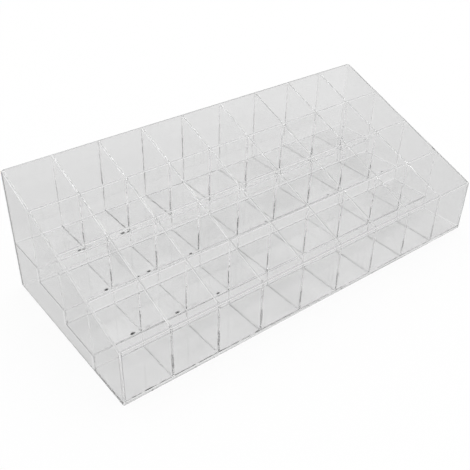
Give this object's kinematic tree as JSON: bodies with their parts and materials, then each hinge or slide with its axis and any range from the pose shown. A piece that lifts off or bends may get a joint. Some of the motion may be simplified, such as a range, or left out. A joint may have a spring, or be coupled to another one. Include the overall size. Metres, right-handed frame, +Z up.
{
  "type": "lipstick organizer",
  "caption": "Stepped clear acrylic rack of open square cells that hold lipsticks upright, with a sloping top, interlocking dividers and raised floors towards the back.",
  "frame": {"origin": "centre of the rack's footprint, on the plane that it stands on", "axes": "+X to the right along the length, +Y from the low front to the high back, +Z up"},
  "size_m": [0.2226, 0.0996, 0.0664],
  "materials": {
    "clear_acrylic": "clear cast acrylic sheet, polished faces and flame-polished upper edges, solvent-bonded joints"
  },
  "bodies": {
    "root": {"left_side_panel": "clear_acrylic", "right_side_panel": "clear_acrylic", "front_panel": "clear_acrylic", "back_panel": "clear_acrylic", "row_1_floor": "clear_acrylic", "row_2_floor": "clear_acrylic", "row_3_floor": "clear_acrylic", "row_4_floor": "clear_acrylic", "row_divider_1": "clear_acrylic", "row_divider_2": "clear_acrylic", "row_divider_3": "clear_acrylic", "column_divider_1": "clear_acrylic", "column_divider_2": "clear_acrylic", "column_divider_3": "clear_acrylic", "column_divider_4": "clear_acrylic", "column_divider_5": "clear_acrylic", "column_divider_6": "clear_acrylic", "column_divider_7": "clear_acrylic", "column_divider_8": "clear_acrylic"}
  },
  "joints": []
}
